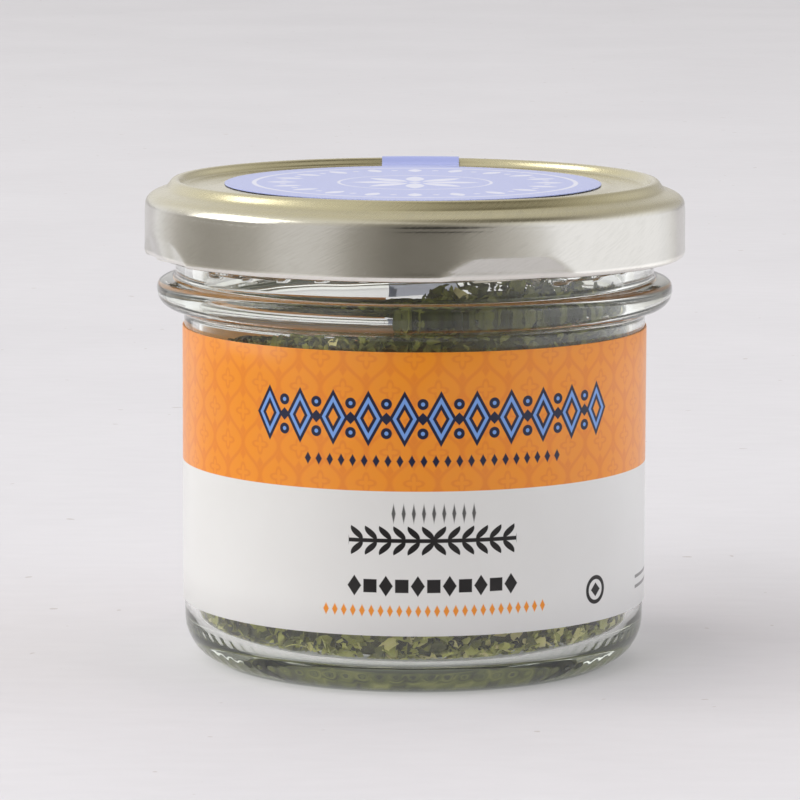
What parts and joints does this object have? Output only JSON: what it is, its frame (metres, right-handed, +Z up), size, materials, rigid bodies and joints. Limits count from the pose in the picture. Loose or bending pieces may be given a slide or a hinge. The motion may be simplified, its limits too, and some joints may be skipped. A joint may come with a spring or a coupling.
{
  "type": "glass jar of dried parsley",
  "caption": "Small round glass jar filled with dried parsley flakes, with a wrap label, a twist-off metal lid on lugs and a paper seal over the lid.",
  "frame": {"origin": "centre of the jar's base, on the surface that it stands on", "axes": "+Z up along the jar's axis, -Y towards the middle of the label, +Y towards the seal's strip, +X to the right as seen from the label's side"},
  "size_m": [0.0664, 0.0667, 0.0596],
  "materials": {
    "clear_glass": "gloss",
    "dried_leaf": "matte",
    "label_paper": "satin",
    "seal_paper": "satin",
    "tinplate": "satin",
    "sealing_compound": "matte"
  },
  "bodies": {
    "jar": {"glass_jar": "clear_glass", "dried_parsley": "dried_leaf", "wrap_label": "label_paper", "seal_tail": "seal_paper"},
    "gasket": {"lid_gasket": "sealing_compound"},
    "lid": {"lid": "tinplate", "seal_label": "seal_paper"}
  },
  "joints": [
    {"name": "lid_rise", "type": "slide", "parent": "jar", "child": "gasket", "axis": [0, 0, 1], "range_m": [0, 0.00151]},
    {"name": "lid_twist", "type": "hinge", "parent": "gasket", "child": "lid", "pos_m": [0, 0, 0.054], "axis": [0, 0, 1], "range_deg": [0, 60]}
  ],
  "couplings": [
    {"joint": "lid_rise", "follows": "lid_twist", "m_per_rad": 0.0014324}
  ]
}
